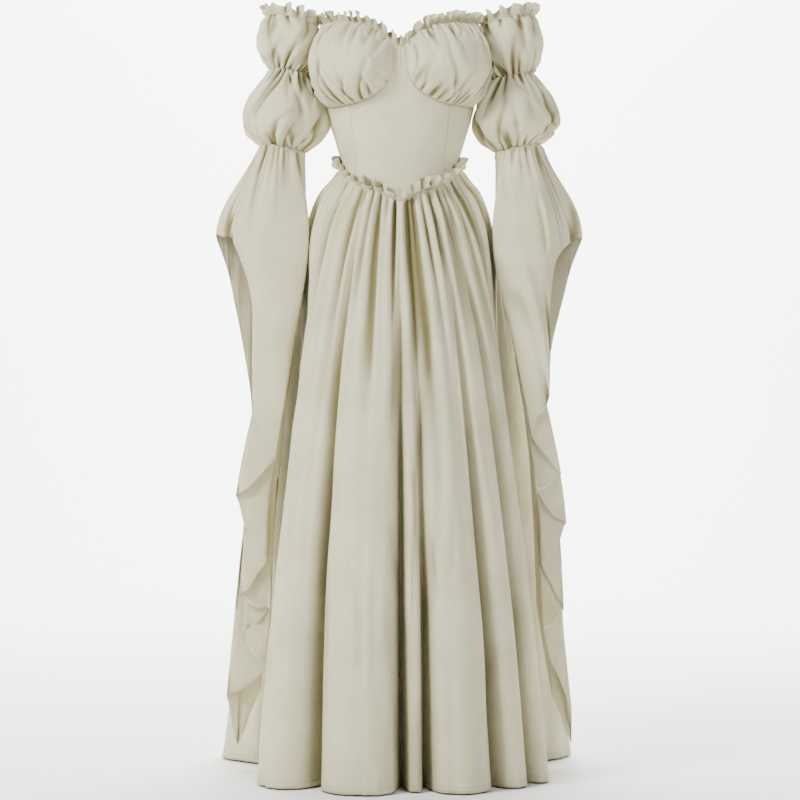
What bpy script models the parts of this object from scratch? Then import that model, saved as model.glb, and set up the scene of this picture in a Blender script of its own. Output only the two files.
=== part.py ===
"""Off-shoulder gathered dress, hollow as when it is worn, made of its separate sewn pieces.

Metres, +Z up, the front faces -Y and the wearer's left is +X. The origin is the middle of the wearer's waist.
Angles go round the body from the centre front (0) through the wearer's left (90) to the centre back (180).
Tables are in millimetres and degrees.
"""

import bmesh
import bpy
import numpy as np

MM = 0.001
WALL = 1.6 * MM
FRILL_WALL = 1.1 * MM
SEAM = 0.3 * MM
HEM_Z = -1052 * MM
FRONT_FRILL = 13 * MM
SLEEVE_FRILL = 18 * MM
WAIST_FRILL = 14 * MM

# The close-fitting bodice: height, half width, depth to the front and to the back.
BODY = (
    (-80, 118, 102, 92),
    (-40, 108, 95, 83),
    (0, 103, 88, 78),
    (40, 113, 90, 85),
    (80, 125, 93, 93),
    (120, 134, 97, 99),
    (160, 139, 103, 103),
    (200, 141, 103, 104),
    (250, 143, 92, 100),
)
# The waist seam dips to a point at the centre front: angle from the front, height.
WAIST_SEAM = ((0, -68), (10, -59), (20, -49), (35, -41), (55, -27), (75, -9), (90, 0), (120, 3), (180, 4))
# The seam under the cups, and the neckline over them: angle, height.
CUP_SEAM = ((0, 156), (5, 155), (8, 138), (13, 124), (23, 110), (33, 103), (42, 100), (57, 98.5), (77, 100))
CUP_TOP = ((4, 203), (9, 215), (14, 225), (24, 237), (34, 242), (46, 245), (60, 246), (77, 245))
STRIP_TOP = ((0, 196), (4, 201), (5, 155))
BACK_TOP = ((77, 184), (90, 185), (101, 188), (112, 202), (130, 200), (150, 195), (180, 191))
# The seams between the bodice panels: angle at the waist and at the top.
BODICE_ROWS = (0, 0.09, 0.26, 0.5, 0.75, 1)
PRINCESS = (50, 42)
SIDE_FRONT = (77, 77)
SIDE_BACK = (112, 112)
# Half of the front panel's upright lines, by angle; the strip between the cups ends at STRIP_HALF.
HALF_FRONT = (2, 4, 5, 6.4, 8, 10, 13, 17, 23, 30, 38, 48)
FRONT_ANGLES = tuple(-angle for angle in reversed(HALF_FRONT)) + (0,) + HALF_FRONT
STRIP_HALF = 5
CUP_INNER = (5.6, 4.6)
CUP_OUTER = 75
CUP_DEPTH = 52 * MM
CUP_GAP = 0.6 * MM
WAIST_GAP = 0.7 * MM

# How far the skirt stands out below the waist seam: drop, at the side, at the front, at the back.
FLARE = (
    (0, 0, 0, 0),
    (20, 12, 12, 17),
    (45, 30, 25, 40),
    (100, 50, 48, 67),
    (160, 64, 70, 89),
    (300, 97, 112, 127),
    (500, 137, 156, 167),
    (750, 184, 201, 212),
    (1056, 232, 238, 257),
)
# Skirt folds: angle at the waist, at a third of the length and at the hem, and the depth at each.
FRONT_FOLDS = (
    (-80, -78, -78, 4, 0, 0),
    (-70, -70, -66, 5, 2, 0),
    (-62, -61, -55, 5, 3, 0),
    (-54, -52, -43, 7, 6, 5),
    (-46, -43, -36, 6, 4, 0),
    (-38, -33, -29, 6, 5, 0),
    (-30, -26, -23, 11, 42, 130),
    (-23, -20, -17, 7, 7, 4),
    (-17, -14, -11, 5, 3, 3),
    (-10, -8, -5.5, 5, 3, 0),
    (0, 0, 0.5, 9, 34, 110),
    (6, 6.5, 7, 7, 20, 95),
    (12, 13.5, 14, 4, 3, 0),
    (19, 19.5, 20, 6, 5, 4),
    (28, 26.4, 26.8, 8, 18, 95),
    (33, 33, 33, 5, 3, 0),
    (38.5, 40, 39.2, 9, 28, 95),
    (46, 48, 46, 6, 5, 0),
    (54, 56, 53, 6, 4, 0),
    (62, 63, 60, 6, 3, 0),
    (71, 71, 68, 5, 0, 0),
    (80, 79, 79, 4, 0, 0),
)
BACK_FOLDS = (
    (98, 98, 97, 5, 3, 0),
    (108, 108, 107, 6, 8, 12),
    (118, 118, 118, 7, 26, 95),
    (128, 127, 128, 5, 4, 0),
    (139, 138, 139, 8, 28, 105),
    (150, 149, 150, 5, 4, 3),
    (161, 160, 161, 8, 26, 95),
    (172, 171, 171, 5, 4, 0),
)
# The skirt falls in at each side, where a sleeve hangs: share of the length, middle angle, half width, depth.
RECESS = (
    (0, 86, 16, 0),
    (0.08, 84, 18, 8),
    (0.16, 82, 20, 22),
    (0.28, 80, 21, 50),
    (0.5, 78, 22, 80),
    (0.75, 77, 23, 104),
    (1, 76, 24, 118),
)
LEFT_RECESS_SHIFT = 3
FOLD_AT = (0, 0.08, 0.35, 1)
FOLD_WIDTH = (2.6, 4, 7, 9)
FOLD_MOUTH = (6, 10, 22, 34)
DEEP_FOLD = 30
DEEP_COLUMNS = (-1, -0.5, -0.2, 0, 0.2, 0.5, 1)
DEEP_REACH = (2.8, 3.0, 3.6)
SKIRT_ROWS = (0, 0.035, 0.09, 0.17, 0.29, 0.44, 0.62, 0.81, 1)

# The upper edge of a sleeve, round from its front corner over the arm to the back and under it: x, y, z.
SLEEVE_TOP = (
    (142, -21, 243),
    (156, -43, 248),
    (182, -54, 255),
    (208, -48, 262),
    (227, -27, 264),
    (233, 2, 263),
    (226, 30, 259),
    (205, 52, 251),
    (178, 58, 240),
    (152, 54, 222),
    (134, 41, 204),
    (137.8, 18, 190),
    (139.2, 0, 187),
    (140.6, -12, 193),
    (142, -18, 216),
)
SLEEVE_CORNER = 10
SLEEVE_TURN = 5.0
# The two elastics: middle x, height, half width, half depth, slope.
UPPER_ELASTIC = (196, 168, 35, 38, 0.13)
LOWER_ELASTIC = (206.5, 32, 38.5, 39, 0.2)
# How far each puff stands out between its two ends: share of the way down, outwards.
UPPER_PUFF = ((0, 0), (0.15, 12), (0.45, 20), (0.75, 13), (0.93, 3), (1, 0))
LOWER_PUFF = ((0, 0), (0.12, 8), (0.35, 26), (0.62, 39), (0.85, 26), (0.96, 7), (1, 0))
PUFF_GATHERS = 8
PUFF_COLUMNS = 32
PUFF_ROWS = (0, 0.12, 0.36, 0.62, 0.87, 1)

# The long open sleeve end, one row for each fold line, from the outer corner over the front to the back:
# angle on the elastic, height of its edge, then x and y at the four heights below.
BELL_HEIGHTS = (-120, -350, -650, -950)
RIGHT_BELL = (
    (0, -122, 325, 3, 330, 3, 330, 3, 330, 3),
    (10, -125, 312, -16, 318, -18, 318, -18, 318, -18),
    (22, -128, 296, -34, 300, -45, 300, -45, 300, -45),
    (40, -172, 276, -47, 274, -60, 274, -60, 274, -60),
    (58, -255, 252, -54, 257, -70, 257, -70, 257, -70),
    (76, -430, 232, -57, 254, -76, 255, -80, 255, -80),
    (105, -485, 200, -54, 224, -80, 243, -84, 243, -84),
    (140, -515, 164, -30, 190, -68, 226, -92, 226, -96),
    (152, -577, 186, -22, 238, -59, 288, -83, 288, -88),
    (164, -690, 166, -14, 190, -50, 229, -74, 229, -79),
    (176, -753, 186, -7, 240, -41, 270, -65, 290, -70),
    (188, -772, 166, 0, 190, -32, 222, -56, 230, -61),
    (200, -812, 186, 7, 240, -23, 262, -47, 282, -52),
    (212, -880, 167, 14, 192, -14, 220, -38, 230, -43),
    (224, -929, 188, 22, 242, -5, 275, -29, 305, -34),
    (237, -1014, 186, 32, 226, 4, 264, -20, 284, -25),
    (252, -920, 192, 42, 206, 14, 240, -10, 246, -14),
    (268, -760, 208, 49, 214, 24, 226, 2, 230, -2),
    (290, -456, 236, 50, 256, 22, 266, 10, 266, 10),
    (312, -392, 262, 44, 265, 12, 265, 12, 265, 12),
    (328, -300, 285, 32, 280, 8, 280, 8, 280, 8),
    (342, -185, 305, 18, 302, 6, 302, 6, 302, 6),
)
LEFT_BELL = (
    (0, -126, 322, 4, 326, 4, 326, 4, 326, 4),
    (10, -133, 304, -10, 308, -12, 308, -12, 308, -12),
    (22, -150, 284, -24, 288, -30, 288, -30, 288, -30),
    (40, -176, 270, -38, 270, -52, 270, -52, 270, -52),
    (58, -262, 256, -50, 261, -66, 261, -66, 261, -66),
    (76, -405, 236, -56, 258, -75, 258, -80, 258, -80),
    (105, -440, 204, -54, 230, -80, 250, -84, 250, -84),
    (140, -478, 166, -30, 204, -68, 250, -92, 250, -96),
    (152, -540, 188, -22, 240, -59, 288, -83, 288, -88),
    (164, -570, 168, -14, 204, -50, 240, -74, 240, -79),
    (176, -625, 188, -7, 240, -41, 289, -65, 292, -70),
    (188, -697, 168, 0, 204, -32, 244, -56, 250, -61),
    (200, -775, 188, 7, 240, -23, 278, -47, 292, -52),
    (212, -815, 169, 14, 206, -14, 240, -38, 256, -43),
    (224, -935, 190, 22, 242, -5, 276, -29, 292, -34),
    (237, -1012, 188, 32, 228, 4, 268, -20, 300, -25),
    (252, -930, 194, 42, 210, 14, 250, -10, 268, -14),
    (268, -770, 210, 49, 218, 24, 236, 2, 246, -2),
    (290, -470, 238, 50, 256, 22, 262, 10, 262, 10),
    (312, -400, 262, 44, 258, 12, 258, 12, 258, 12),
    (328, -290, 284, 32, 272, 8, 272, 8, 272, 8),
    (342, -180, 303, 18, 298, 6, 298, 6, 298, 6),
)
BELL_ROWS = (0, 0.05, 0.13, 0.24, 0.37, 0.52, 0.68, 0.84, 1)
BELL_FLAT = (6, 18)
FOLD_ROUND = 0.22
BELL_WALL = 1.1 * MM


def column(table, index):
    """One column of a table, as an array."""
    return np.array([row[index] for row in table], float)


def through(at, known, values):
    """A smooth curve through the known points, which never overshoots them, read at the places asked for."""
    at, known, values = (np.asarray(a, float) for a in (at, known, values))
    step = np.diff(known)
    slope = np.diff(values) / step
    tangent = np.zeros_like(values)
    same = slope[:-1] * slope[1:] > 0
    safe = np.where(same, slope[:-1] + slope[1:], 1.0)
    tangent[1:-1] = np.where(same, 2 * slope[:-1] * slope[1:] / safe, 0.0)
    tangent[0], tangent[-1] = slope[0], slope[-1]
    i = np.clip(np.searchsorted(known, at, side="right") - 1, 0, len(step) - 1)
    t = np.clip((at - known[i]) / step[i], 0, 1)
    h = step[i]
    return (
        values[i] * (1 + 2 * t) * (1 - t) ** 2
        + tangent[i] * h * t * (1 - t) ** 2
        + values[i + 1] * t**2 * (3 - 2 * t)
        + tangent[i + 1] * h * t**2 * (t - 1)
    )


def look_up(table, at, index=1):
    """A table's column read at a place in its first column, in metres if it holds millimetres."""
    return through(at, column(table, 0), column(table, index))


def round_loop(points, at):
    """A smooth closed curve through the points; a whole number at a point, one more at the next."""
    points = np.asarray(points, float)
    n = len(points)
    i = np.floor(at).astype(int)
    t = (at - i)[..., None]
    a, b, c, d = (points[(i + k) % n] for k in (-1, 0, 1, 2))
    return 0.5 * (2 * b + (c - a) * t + (2 * a - 5 * b + 4 * c - d) * t**2 + (3 * b - a - 3 * c + d) * t**3)


def body_point(angle, height):
    """A point of the close-fitting bodice, for an angle in degrees and a height in metres."""
    a = np.radians(angle)
    wide = look_up(BODY, height / MM, 1) * MM
    front = look_up(BODY, height / MM, 2) * MM
    back = look_up(BODY, height / MM, 3) * MM
    deep = np.where(np.cos(a) > 0, front, back)
    return np.stack([wide * np.sin(a), -deep * np.cos(a), height + 0 * a], axis=-1)


def outwards(angle):
    """The level direction away from the body."""
    a = np.radians(angle)
    return np.stack([np.sin(a), -np.cos(a), 0 * a], axis=-1)


def waist_height(angle):
    """The height of the waist seam."""
    turned = np.abs((angle + 180) % 360 - 180)
    return look_up(WAIST_SEAM, turned) * MM


def clear_scene():
    """Removes every object of the scene."""
    for old in list(bpy.data.objects):
        bpy.data.objects.remove(old, do_unlink=True)


def cloth_material():
    """Fine undyed cotton, matt."""
    material = bpy.data.materials.new("ecru_cotton")
    material.use_nodes = True
    shader = material.node_tree.nodes["Principled BSDF"]
    shader.inputs["Base Color"].default_value = (0.66, 0.63, 0.53, 1)
    shader.inputs["Roughness"].default_value = 0.85
    shader.inputs["Metallic"].default_value = 0.0
    return material


def wall_of(name, across, up, place, material, wall=WALL, closed=False, faces_out=True):
    """A sewn piece: a grid of cloth laid out by place(u, v), both from 0 to 1, and given its thickness.

    place() gives the points, and it may also give the way out, which the two side edges then follow.
    """
    bm = bmesh.new()
    bmesh.ops.create_grid(bm, x_segments=across, y_segments=up, size=0.5)
    bm.verts.ensure_lookup_table()
    flat = np.array([v.co for v in bm.verts]) + 0.5
    placed = place(flat[:, 0], flat[:, 1])
    points, ways = placed if isinstance(placed, tuple) else (placed, np.zeros((len(flat), 3)))
    way_out = bm.verts.layers.float_vector.new("way_out")
    for vertex, point, way, u in zip(bm.verts, points, ways, flat[:, 0]):
        vertex.co = point
        if min(u, 1 - u) < 1e-6:
            vertex[way_out] = way
    if closed:
        bmesh.ops.remove_doubles(bm, verts=bm.verts, dist=1e-6)
    bmesh.ops.triangulate(bm, faces=bm.faces)
    if not faces_out:
        bmesh.ops.reverse_faces(bm, faces=bm.faces)
    bm.normal_update()
    inner = bmesh.ops.duplicate(bm, geom=bm.verts[:] + bm.edges[:] + bm.faces[:])
    pair = inner["vert_map"]
    edges = [part for part in inner["geom_orig"] if isinstance(part, bmesh.types.BMEdge)]
    for loop in [edge.link_loops[0] for edge in edges if edge.is_boundary]:
        first, second = loop.vert, loop.link_loop_next.vert
        bm.faces.new((second, first, pair[first]))
        bm.faces.new((second, pair[first], pair[second]))
    for vertex in [v for v in inner["geom_orig"] if isinstance(v, bmesh.types.BMVert)]:
        way = vertex[way_out] if vertex[way_out].length > 0.5 else vertex.normal
        pair[vertex].co = vertex.co - way * wall
    bmesh.ops.reverse_faces(bm, faces=[f for f in inner["geom"] if isinstance(f, bmesh.types.BMFace)])
    mesh = bpy.data.meshes.new(name)
    bm.to_mesh(mesh)
    bm.free()
    mesh.shade_smooth()
    mesh.materials.append(material)
    piece = bpy.data.objects.new(name, mesh)
    bpy.context.scene.collection.objects.link(piece)
    return piece


def bodice_panel(name, start, end, top, material, across):
    """A bodice panel between two seams, each given by its angle at the waist and at the top."""

    def place(u, v):
        rise = np.array(BODICE_ROWS)[np.rint(v * (len(BODICE_ROWS) - 1)).astype(int)]
        first = start[0] + (start[1] - start[0]) * rise
        last = end[0] + (end[1] - end[0]) * rise
        gap = np.degrees(SEAM / 2 / (110 * MM))
        angle = first + gap + (last - first - 2 * gap) * u
        low = waist_height(angle) + WAIST_GAP / 2
        high = top(angle)
        return body_point(angle, low + (high - low) * rise), outwards(angle)

    return wall_of(name, across, len(BODICE_ROWS) - 1, place, material)


def on_side(side, first, last):
    """Two seams of the wearer's left half, or the same two mirrored to the right half."""
    return (first, last) if side > 0 else (tuple(-a for a in last), tuple(-a for a in first))


def front_top(angle):
    """The upper edge of the centre front panel: a narrow strip between the cups, then the seam under them."""
    turned = np.abs(angle)
    strip = look_up(STRIP_TOP, turned) * MM
    seam = look_up(CUP_SEAM, turned) * MM
    return np.where(turned < STRIP_TOP[-1][0], strip, seam)


def side_front_top(angle):
    return look_up(CUP_SEAM, np.abs(angle)) * MM


def back_top(angle):
    turned = np.abs((angle + 180) % 360 - 180)
    return look_up(BACK_TOP, turned) * MM


def front_panel(material):
    """The centre front, with the strip that runs up between the cups."""

    def place(u, v):
        v = np.array(BODICE_ROWS)[np.rint(v * (len(BODICE_ROWS) - 1)).astype(int)]
        rank = np.rint(u * (len(FRONT_ANGLES) - 1)).astype(int)
        gap = np.degrees(SEAM / 2 / (100 * MM))
        # The fan of angles narrows towards the top, but the strip keeps its width.
        edge_waist, edge_top = PRINCESS[0] - gap, PRINCESS[1] - gap
        wanted = np.array(FRONT_ANGLES)[rank]
        side, half = np.sign(wanted), STRIP_HALF
        spread = np.clip((np.abs(wanted) - half) / (FRONT_ANGLES[-1] - half), 0, 1)
        at_waist = side * (half + spread * (edge_waist - half) + 3 * (1 - spread))
        at_top = side * (half + spread * (edge_top - half))
        at_waist = np.where(np.abs(wanted) <= half, wanted * 1.6, at_waist)
        at_top = np.where(np.abs(wanted) <= half, wanted, at_top)
        angle = at_waist + (at_top - at_waist) * v
        low = waist_height(angle) + WAIST_GAP / 2
        high = front_top(at_top)
        return body_point(angle, low + (high - low) * v), outwards(angle)

    return wall_of("bodice_front", len(FRONT_ANGLES) - 1, len(BODICE_ROWS) - 1, place, material)


def cup(name, side, material):
    """A gathered cup, a dome between the seam under it, the neckline, the centre strip and the armhole."""
    waves = 8

    def place(u, v):
        inner = CUP_INNER[0] + (CUP_INNER[1] - CUP_INNER[0]) * v
        spaced = u**1.35
        angle = inner + (CUP_OUTER - inner) * spaced
        seam = look_up(CUP_SEAM, angle) * MM
        steep = (look_up(CUP_SEAM, angle + 0.5) - look_up(CUP_SEAM, angle - 0.5)) * MM
        slant = np.hypot(1, steep / (np.radians(1) * 110 * MM))
        low = seam + CUP_GAP * slant
        high = look_up(CUP_TOP, angle) * MM
        base = body_point(side * angle, low + (high - low) * v)
        share = (angle - inner) / (CUP_OUTER - inner)
        dome = CUP_DEPTH * np.sin(np.pi * share**0.92) ** 0.62 * np.sin(np.pi * v**0.93) ** 0.62
        near_edge = np.maximum(np.clip(1 - v / 0.4, 0, 1), np.clip((v - 0.62) / 0.38, 0, 1))
        held = np.sin(np.pi * np.clip(v, 0.02, 0.98)) ** 0.3 * np.sin(np.pi * u)
        ripple = 1.6 * MM * np.cos(2 * np.pi * waves * u) * near_edge * held
        return base + outwards(side * angle) * (dome + ripple)[:, None]

    return wall_of(name, waves * 4, 6, place, material, faces_out=side > 0)


def fold_line(fold, v):
    """Where a fold line runs, and how deep it is, at a share of the skirt's length."""
    angle = through(v, (0, 0.3, 1), (fold[0], fold[1], fold[2]))
    deep = through(v, FOLD_AT, (1.5, fold[3], fold[4], fold[5]))
    return angle, deep


def mirrored(folds):
    """The same folds on the other side of the body, in order of angle."""
    return tuple((-a, -b, -c, d, e, f) for a, b, c, d, e, f in reversed(folds))


def skirt_folds():
    """Every fold of the skirt, right round it."""
    return mirrored(BACK_FOLDS) + FRONT_FOLDS + BACK_FOLDS


def skirt_point(angle, v, start):
    """A point of the skirt: angle now, share of the length, and its own angle at the waist."""
    top = waist_height(start) - WAIST_GAP / 2
    height = top + (HEM_Z - top) * v
    drop = np.maximum(top - height, 0) / MM
    a = np.radians(angle)
    side = look_up(FLARE, drop, 1)
    front = look_up(FLARE, drop, 2)
    back = look_up(FLARE, drop, 3)
    ahead = np.where(np.cos(a) > 0, front, back)
    stand = (side * np.sin(a) ** 2 + ahead * np.cos(a) ** 2) * MM
    seam = body_point(angle, waist_height(angle) + 0 * v)
    girth = 95 * MM + stand
    narrow = np.interp(v, FOLD_AT, FOLD_WIDTH) * MM
    mouth = np.interp(v, FOLD_AT, FOLD_MOUTH) * MM
    inward = np.zeros_like(angle)
    for fold in skirt_folds():
        middle, deep = fold_line(fold, v)
        away = np.radians((angle - middle + 180) % 360 - 180) * girth
        inward += deep * MM * (0.7 * np.exp(-((away / narrow) ** 2)) + 0.3 * np.exp(-((away / mouth) ** 2)))
    for turn in (-1, 1):
        shift = LEFT_RECESS_SHIFT * v if turn > 0 else 0 * v
        middle = turn * (through(v, column(RECESS, 0), column(RECESS, 1)) + shift)
        half = through(v, column(RECESS, 0), column(RECESS, 2))
        deep = through(v, column(RECESS, 0), column(RECESS, 3)) * MM
        away = ((angle - middle + 180) % 360 - 180) / half
        inward = inward + (deep - 0.6 * inward * (deep > 0)) * np.exp(-(away**4))
    point = seam + outwards(angle) * (stand - inward)[:, None]
    point[:, 2] = height
    return point


def skirt_panel(name, folds, start, end, material):
    """A skirt panel from one seam to the next, gathered at the waist, with its folds between."""
    gap_top, gap_hem = np.degrees(SEAM / 2 / (100 * MM)), np.degrees(SEAM / 2 / (230 * MM))
    lines = [(start + gap_top, start + gap_hem * 1.5, start + gap_hem)]
    around = [(start,) * 3, *folds, (end,) * 3]
    for i, fold in enumerate(folds):
        before, after = around[i], around[i + 2]
        for share in DEEP_COLUMNS if fold[5] > DEEP_FOLD else (0,):
            near = before if share < 0 else after
            reach = [min(abs(near[k] - fold[k]) * 0.42, DEEP_REACH[k]) for k in range(3)]
            lines.append(tuple(fold[k] + share * reach[k] for k in range(3)))
        if i + 1 < len(folds):
            lines.append(tuple((fold[k] + after[k]) / 2 for k in range(3)))
    lines.append((end - gap_top, end - gap_hem * 1.5, end - gap_hem))
    lines = np.array(lines)

    def place(u, v):
        rank = np.rint(u * (len(lines) - 1)).astype(int)
        v = np.array(SKIRT_ROWS)[::-1][np.rint(v * (len(SKIRT_ROWS) - 1)).astype(int)]
        top, mid, hem = (lines[rank, k] for k in range(3))
        angle = np.where(v < 0.3, top + (mid - top) * v / 0.3, mid + (hem - mid) * (v - 0.3) / 0.7)
        return skirt_point(angle, v, top), outwards(angle)

    return wall_of(name, len(lines) - 1, len(SKIRT_ROWS) - 1, place, material)


def elastic_point(elastic, angle, lift=0.0):
    """A point of an elastic, for an angle from the outer side over the front."""
    middle, height, half, deep, slope = elastic
    a = np.radians(angle)
    x = middle + half * np.cos(a)
    z = height + slope * (x - middle)
    return np.stack([x * MM, -deep * np.sin(a) * MM, z * MM + lift], axis=-1)


def puff(name, side, first, last, stand_out, hold, material):
    """A puffed length of sleeve between two closed edges, first(u) above and last(u) below."""

    def place(u, v):
        v = 1 - np.array(PUFF_ROWS)[::-1][np.rint(v * (len(PUFF_ROWS) - 1)).astype(int)]
        down = 1 - v
        above, below = first(u), last(u)
        point = above + (below - above) * down[:, None]
        away = point - np.array([[0.2, 0.0, 0.0]])
        away[:, 2] = 0
        away /= np.linalg.norm(away, axis=1, keepdims=True)
        full = look_up(stand_out, down) * MM * hold(away)
        near = np.maximum(np.clip(1 - down / 0.4, 0, 1), np.clip((down - 0.6) / 0.4, 0, 1))
        near = near * np.clip(np.minimum(down, v) / 0.04, 0.35, 1)
        ripple = 2.2 * MM * np.cos(2 * np.pi * PUFF_GATHERS * u) * near * hold(away)
        point = point + away * (full + ripple)[:, None]
        point[:, 0] *= side
        return point

    return wall_of(name, PUFF_COLUMNS, len(PUFF_ROWS) - 1, place, material, closed=True, faces_out=side < 0)


def sleeve_edge(u):
    """The upper edge of a sleeve, u once round it from the outer side over the front."""
    return round_loop(SLEEVE_TOP, SLEEVE_TURN - u * len(SLEEVE_TOP)) * MM



def upper_hold(away):
    """The upper puff keeps flat against the body."""
    inner = np.clip(-away[:, 0] - 0.35, 0, 1) / 0.65
    return 1 - 0.97 * inner


def lower_hold(away):
    """The lower puff stands out a little less against the body."""
    return 1 - 0.1 * np.clip(-away[:, 0], 0, 1)


def bell_columns(rows):
    """Two columns to a fold line in the cascade, and two to a bend elsewhere."""
    columns = []
    for i in range(len(rows)):
        if BELL_FLAT[0] < i < BELL_FLAT[1]:
            columns += [i - FOLD_ROUND, i + FOLD_ROUND]
        elif i == BELL_FLAT[0]:
            columns.append(i)
        else:
            columns += [i, i + 0.5]
    return columns + [len(rows)]


def bell_place(rows, columns):
    """The surface of the long sleeve end, from a table of its fold lines."""
    table = np.array(rows, float)

    def line_at(at, index):
        values = table[:, index]
        if index == 0:
            turned = np.concatenate([values, values + 360, values + 720])
            i = np.floor(at).astype(int)
            return turned[i] + (turned[i + 1] - turned[i]) * (at - i)
        return round_loop(values[:, None], at)[..., 0]

    def place(u, v):
        down = np.array(BELL_ROWS)[::-1][np.rint(v * (len(BELL_ROWS) - 1)).astype(int)]
        at = np.array(columns)[np.rint(u * (len(columns) - 1)).astype(int)]
        ring = elastic_point(LOWER_ELASTIC, line_at(at, 0), -SEAM)
        fold = np.rint(at)
        tight = (fold > BELL_FLAT[0]) & (fold < BELL_FLAT[1]) & (np.abs(at - fold) < 0.3)
        seat = np.where(tight, fold, at)
        edge = line_at(seat, 1) * MM
        z = ring[:, 2] + (edge - ring[:, 2]) * down
        point = np.zeros((len(u), 3))
        for k, where in ((0, seat), (1, at)):
            levels = [ring[:, k]] + [line_at(where, 2 + 2 * i + k) * MM for i in range(4)]
            point[:, k] = level_curve(z, ring[:, 2], np.stack(levels, axis=1))
        point[:, 2] = z
        return point

    return place


def level_curve(height, top, levels):
    """Each thread's own smooth path down through its places at the table's heights."""
    result = np.zeros_like(height)
    for i, z in enumerate(height):
        known = [0.0] + [top[i] - level * MM for level in BELL_HEIGHTS]
        result[i] = through(np.array([top[i] - z]), known, levels[i])[0]
    return result


def bell(name, side, rows, material):
    columns = bell_columns(rows)
    surface = bell_place(rows, columns)

    def place(u, v):
        point = surface(u, v)
        point[:, 0] *= side
        return point

    across, up = len(columns) - 1, len(BELL_ROWS) - 1
    return wall_of(name, across, up, place, material, BELL_WALL, True, side < 0)


def frill(name, line, waves, height, lean, material, closed=False):
    """A narrow ruffle standing on an edge: line(u) gives its foot, the way out and the way along."""

    def place(u, v):
        foot, out, along = line(u)
        turn = 2 * np.pi * waves * u
        grow = v[:, None]
        wave = (5 * MM * np.sin(turn) * v)[:, None]
        curl = (2.4 * MM * np.sin(2 * turn) * v)[:, None]
        up = np.array([[0.0, 0.0, 1.0]])
        return foot + up * height * grow + out * (lean * grow + wave) + along * curl

    return wall_of(name, waves * 4, 1, place, material, FRILL_WALL, closed)


def front_frill_line(u):
    angle = -72.6 + 145.2 * u
    turned = np.abs(angle)
    edge = np.where(turned < 5, look_up(((0, 197), (5, 204)), turned), look_up(CUP_TOP, turned)) * MM
    return body_point(angle, edge + SEAM), outwards(angle), outwards(angle + 90)


def back_frill_line(u):
    angle = 113 + 134 * u
    return body_point(angle, back_top(angle) + SEAM), outwards(angle), outwards(angle + 90)


def sleeve_frill_line(side):
    def line(u):
        share = u if side > 0 else 1 - u
        at = 0.12 + (SLEEVE_CORNER - 0.3) * share
        point = round_loop(SLEEVE_TOP, at) * MM
        ahead = round_loop(SLEEVE_TOP, at + 0.02) * MM - point
        if side < 0:
            ahead = -ahead
        point[:, 0] *= side
        ahead[:, 0] *= side
        ahead[:, 2] = 0
        along = ahead / np.linalg.norm(ahead, axis=1, keepdims=True)
        out = np.stack([along[:, 1], -along[:, 0], 0 * along[:, 0]], axis=-1)
        point[:, 2] += SEAM + 0.4 * MM
        return point, out, along

    return line


def waist_frill(material):
    """The ruffle that stands out from the waist seam all round, its edge waving up and down."""
    waves = 30

    def place(u, v):
        angle = -180 + 360 * u
        foot = body_point(angle, waist_height(angle) + 1.6 * MM) + outwards(angle) * 0.9 * MM
        turn = 2 * np.pi * waves * u
        steady = v * WAIST_FRILL
        up = v * (3 + 7 * np.sin(turn)) * MM
        curl = (v * 2.2 * MM * np.sin(2 * turn))[:, None]
        point = foot + outwards(angle) * steady[:, None] + outwards(angle + 90) * curl
        point[:, 2] += up
        return point

    return wall_of("waist_frill", waves * 4, 1, place, material, FRILL_WALL, closed=True)


def main():
    clear_scene()
    cloth = cloth_material()
    front_panel(cloth)
    for side, word in ((1, "left"), (-1, "right")):
        front_seams = on_side(side, PRINCESS, SIDE_FRONT)
        bodice_panel(f"bodice_side_front_{word}", *front_seams, side_front_top, cloth, 5)
        bodice_panel(f"bodice_side_{word}", *on_side(side, SIDE_FRONT, SIDE_BACK), back_top, cloth, 5)
        bodice_panel(f"bodice_back_{word}", *on_side(side, SIDE_BACK, (180, 180)), back_top, cloth, 7)
        cup(f"cup_{word}", side, cloth)
        puff(
            f"sleeve_upper_{word}",
            side,
            sleeve_edge,
            lambda u: elastic_point(UPPER_ELASTIC, 360 * u, SEAM / 2),
            UPPER_PUFF,
            upper_hold,
            cloth,
        )
        puff(
            f"sleeve_lower_{word}",
            side,
            lambda u: elastic_point(UPPER_ELASTIC, 360 * u, -SEAM / 2),
            lambda u: elastic_point(LOWER_ELASTIC, 360 * u, SEAM / 2),
            LOWER_PUFF,
            lower_hold,
            cloth,
        )
        bell(f"sleeve_end_{word}", side, LEFT_BELL if side > 0 else RIGHT_BELL, cloth)
        frill(f"neck_frill_sleeve_{word}", sleeve_frill_line(side), 12, SLEEVE_FRILL, 1 * MM, cloth)
    skirt_panel("skirt_front", FRONT_FOLDS, -90, 90, cloth)
    skirt_panel("skirt_back_left", BACK_FOLDS, 90, 180, cloth)
    skirt_panel("skirt_back_right", mirrored(BACK_FOLDS), -180, -90, cloth)
    frill("neck_frill_front", front_frill_line, 18, FRONT_FRILL, 3 * MM, cloth)
    frill("neck_frill_back", back_frill_line, 12, FRONT_FRILL, 2 * MM, cloth)
    waist_frill(cloth)


main()
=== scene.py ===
"""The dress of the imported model, sewn from its real pieces: every panel, puff, frill and sleeve end is cloth.

Metres, +Z up, the front faces -Y and the wearer's left is +X. The origin is the middle of the wearer's waist.
Angles go round the body from the centre front (0) through the wearer's left (90) to the centre back (180).
Tables are in millimetres and degrees.
"""

import math

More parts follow.
